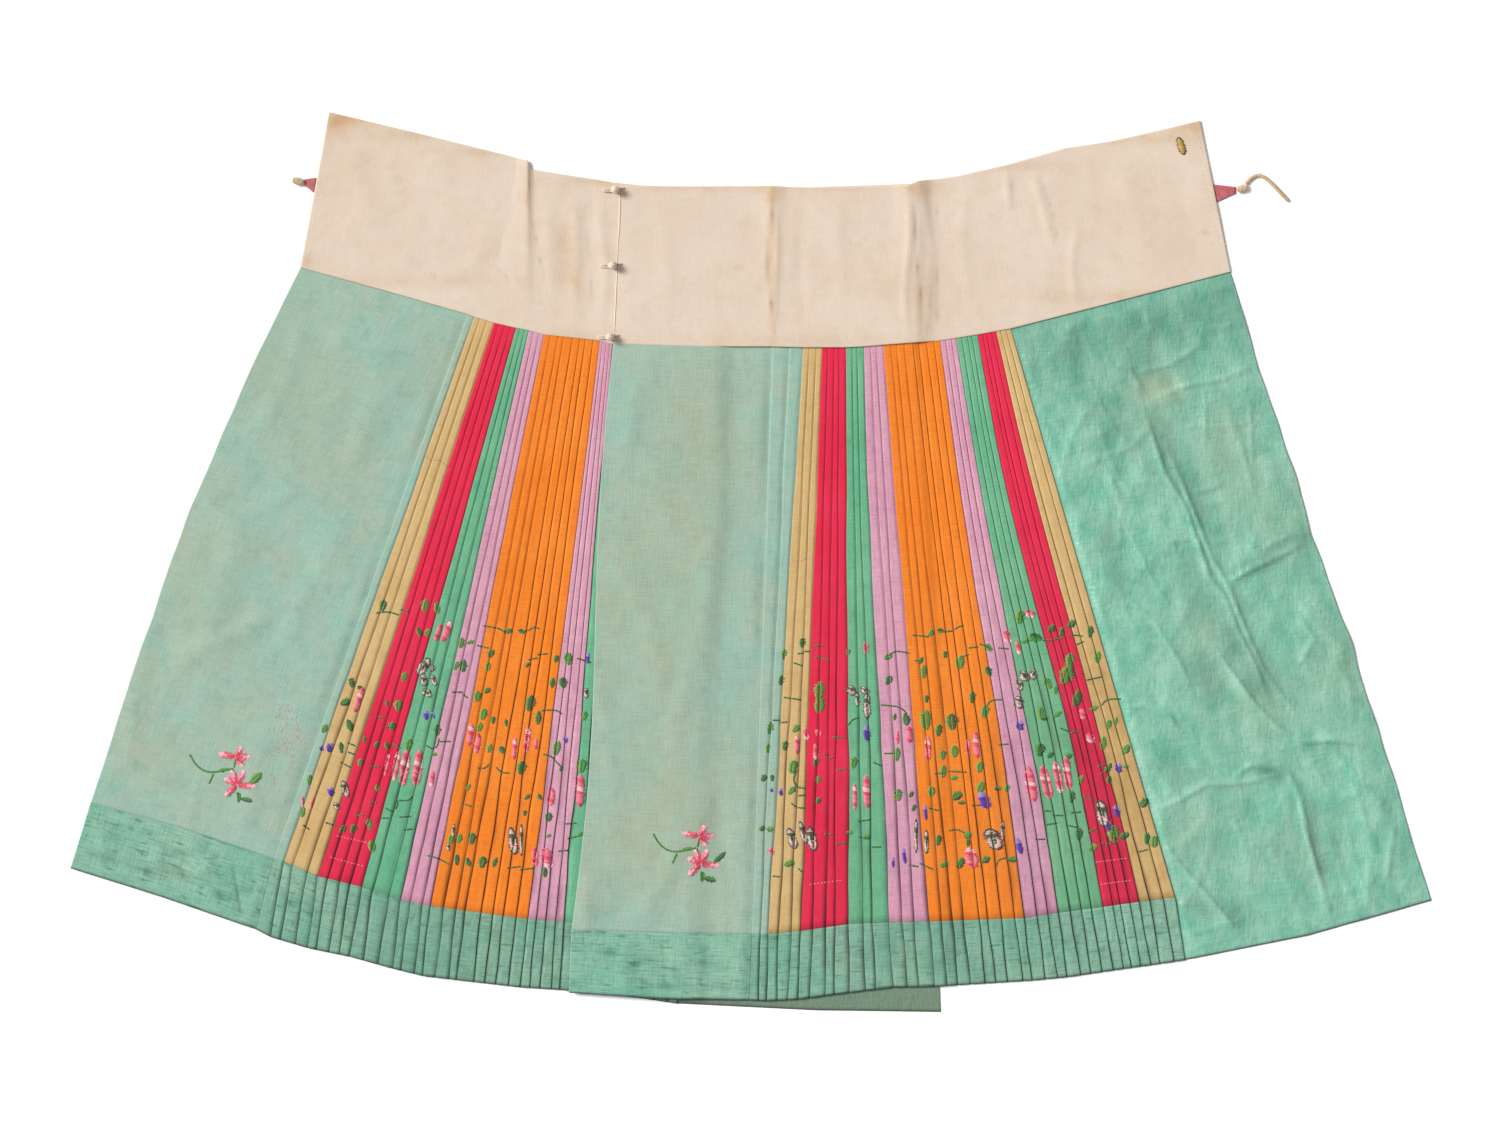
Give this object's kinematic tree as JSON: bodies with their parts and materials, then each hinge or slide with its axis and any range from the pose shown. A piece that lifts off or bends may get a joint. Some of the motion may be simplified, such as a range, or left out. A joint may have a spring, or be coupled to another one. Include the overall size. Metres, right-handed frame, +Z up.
{
  "type": "horse-face skirt",
  "caption": "Pleated wrap skirt of two lapped halves on buttoned waistbands, with flat panels between sections of sewn colour strips, laid open and flat, inside up.",
  "frame": {"origin": "on the surface that the skirt lies on, under the middle of its bounding box", "axes": "+Z up from that surface, +Y from the hem to the waist, +X from the left half to the right half as seen from above"},
  "size_m": [1.6, 1.058, 0.0151],
  "materials": {
    "cotton": "matte",
    "pale_silk": "matte",
    "tan_silk": "matte",
    "red_silk": "matte",
    "green_silk": "matte",
    "lilac_silk": "matte",
    "orange_silk": "matte",
    "satin_lining": "satin",
    "hem_facing": "matte",
    "tab_cloth": "matte"
  },
  "bodies": {
    "root": {"button_low": "cotton", "button_middle": "cotton", "button_top": "cotton", "left_covered_panel": "satin_lining", "left_end_band": "hem_facing", "left_end_panel": "pale_silk", "left_green_1": "green_silk", "left_green_2": "green_silk", "left_knot": "cotton", "left_lilac_1": "lilac_silk", "left_lilac_2": "lilac_silk", "left_orange": "orange_silk", "left_pleat_band": "hem_facing", "left_red_1": "red_silk", "left_red_2": "red_silk", "left_tab": "tab_cloth", "left_tan_1": "tan_silk", "left_tan_2": "tan_silk", "left_waistband": "cotton", "loop_low": "cotton", "loop_middle": "cotton", "loop_top": "cotton", "right_centre_band": "hem_facing", "right_centre_panel": "pale_silk", "right_end_panel": "satin_lining", "right_green_1": "green_silk", "right_green_2": "green_silk", "right_knot": "cotton", "right_lilac_1": "lilac_silk", "right_lilac_2": "lilac_silk", "right_orange": "orange_silk", "right_pleat_band": "hem_facing", "right_red_1": "red_silk", "right_red_2": "red_silk", "right_tab": "tab_cloth", "right_tan_1": "tan_silk", "right_tan_2": "tan_silk", "right_waistband": "cotton", "tie_tape": "cotton"}
  },
  "joints": []
}
